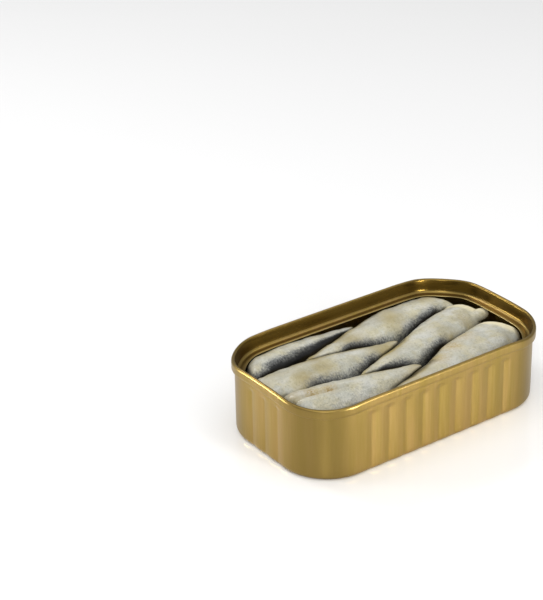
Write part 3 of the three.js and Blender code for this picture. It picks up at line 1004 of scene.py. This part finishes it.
def dark_oil():
    material, nodes, shader = new_material("oily_filling")
    place = object_place(nodes)
    cloud = nodes.noise(place, 0.2, 4.0, 0.6)
    fine = nodes.noise(place, 1.4, 3.0, 0.6, 5.0)
    stops = [(0.3, DEEP_OIL[:3]), (0.6, OIL[:3]), (0.8, THIN_OIL[:3])]
    tone = nodes.add("ShaderNodeValToRGB", {"stops": stops}, {"Fac": cloud}, "Color")
    tone = nodes.mix(nodes.step(fine, 0.5, 0.8) * 0.4, tone, SUNKEN_SKIN)
    nodes.put(shader.inputs["Base Color"], tone)
    nodes.put(shader.inputs["Roughness"], 0.12 + fine * 0.15)
    nodes.emboss(shader, cloud, 0.4, 0.4 * MM)
    return material


def filling_form(material):
    nodes, given = new_form("humped_filling", ["Hump height", "Seed"])
    x, y, z = nodes.parts(point_in_space(nodes))
    humps = nodes.noise(nodes.join(x * 0.25, y, 0.0), 0.16, 2.0, 0.5, given["Seed"])
    drop = given["Hump height"] * nodes.step(humps, 0.75, 0.25) * nodes.step(z, 6.0, FILLING_TOP)
    offset = nodes.join(0.0, 0.0, drop * -MM)
    surface = nodes.add("GeometryNodeSetPosition",
                        inputs={"Geometry": given["Geometry"], "Offset": offset})
    finish_form(nodes, surface, material)
    return nodes


# Insets and heights from the middle of the underside, up the side, to the middle of the top.
FILLING_SIDE = 1.95
FILLING_TOP = 11.7
filling_rows = [(17.5, 1.55), (10.0, 1.55), (4.4, 1.55), (3.4, 1.7), (2.5, 2.3)]
filling_rows += [(FILLING_SIDE, 3.2 + 7.9 * i / 6) for i in range(7)]
filling_rows += [(2.1, 11.45)] + [(2.5 + 15.5 * i / 14, FILLING_TOP) for i in range(15)]
fill_points, fill_outward, _ = seam_outline(12, FLUTE_PITCH / 5)
fill_mesh = ring_mesh("filling", [tin_ring(fill_points, fill_outward, inset, height)
                                  for inset, height in filling_rows])
filling = grow_piece("packed_layer", fill_mesh, filling_form(dark_oil()),
                     {"Hump height": 1.6, "Seed": 4.0})

# %% [markdown]
# ## Hand the pieces to the frame
# Every finished piece stands for one solid of the CAD model and rides on the same body, so the
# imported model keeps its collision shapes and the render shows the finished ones.

# %% Ride and replace
finished = {"tin_body": (tin_body, "gold_lacquer"), "lid_ring": (lid_ring, "gold_lacquer"),
            "packed_filling": (filling, "oily_filling")}
finished.update({name: (piece, "fish_skin") for name, piece in fish_pieces.items()})
for node, (piece, slot) in finished.items():
    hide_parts(node)
    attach(piece, "root")
print("pieces handed over:", len(finished))

# %% [markdown]
# ## Floor and light
# The tin stands on a pale glossy table in a white studio. A large softbox over the tin lights
# the fish from above. Small low ones at the front and the left graze the fluted walls, so that
# each rib has a bright and a dark side, and two small lamps put thin lines on the rim.

# %% Floor
def pale_floor():
    material, nodes, shader = new_material("pale_floor")
    place = object_place(nodes)
    cloud = nodes.noise(place, 0.004, 2.0)
    nodes.put(shader.inputs["Base Color"],
              nodes.mix(cloud, colour(250, 250, 250), colour(247, 247, 247)))
    nodes.put(shader.inputs["Roughness"], 0.08 + cloud * 0.04)
    return material


FLOOR_REACH = 3.0
floor_mesh = bpy.data.meshes.new("floor")
floor_mesh.from_pydata([(x * FLOOR_REACH, y * FLOOR_REACH, 0)
                        for x, y in ((-1, -1), (1, -1), (1, 1), (-1, 1))], [], [(0, 1, 2, 3)])
floor_mesh.materials.append(pale_floor())
floor = new_object("floor", floor_mesh)
print("floor:", 2 * FLOOR_REACH, "m across")

# %% Lights
def softbox(name, azimuth, elevation, distance, width, height, radiance):
    """A rectangular lamp that faces the tin, in metres and degrees. Azimuth 0 is in front of
    the tin and 90 on its right."""
    light = bpy.data.lights.new(name, "AREA")
    light.shape = "RECTANGLE"
    light.size, light.size_y = width, height
    light.energy = radiance * math.pi * width * height
    lamp = new_object(name, light)
    azimuth, elevation = math.radians(azimuth), math.radians(elevation)
    place = distance * Vector((math.sin(azimuth) * math.cos(elevation),
                               -math.cos(azimuth) * math.cos(elevation), math.sin(elevation)))
    facing = place.to_track_quat("Z", "Y").to_matrix().to_4x4()
    lamp.matrix_world = Matrix.Translation(place) @ facing
    print(name, "at", [round(c, 2) for c in place])


softbox("top_softbox", -20, 75, 1.2, 1.6, 1.6, 1.1)
softbox("front_softbox", 10, 5, 0.6, 0.12, 0.12, 90.0)
softbox("flash", -42, 32, 1.0, 0.2, 0.25, 12.0)
softbox("side_softbox", -128, 6, 0.6, 0.12, 0.12, 40.0)
softbox("back_lamp", -160, 42, 1.0, 0.25, 0.25, 9.0)

sky = bpy.data.worlds.new("studio")
sky.use_nodes = True
sky.node_tree.nodes["Background"].inputs["Color"].default_value = (1.0, 1.0, 1.0, 1.0)
sky.node_tree.nodes["Background"].inputs["Strength"].default_value = 0.5
bpy.context.scene.world = sky
bpy.context.scene.view_settings.view_transform = "Standard"
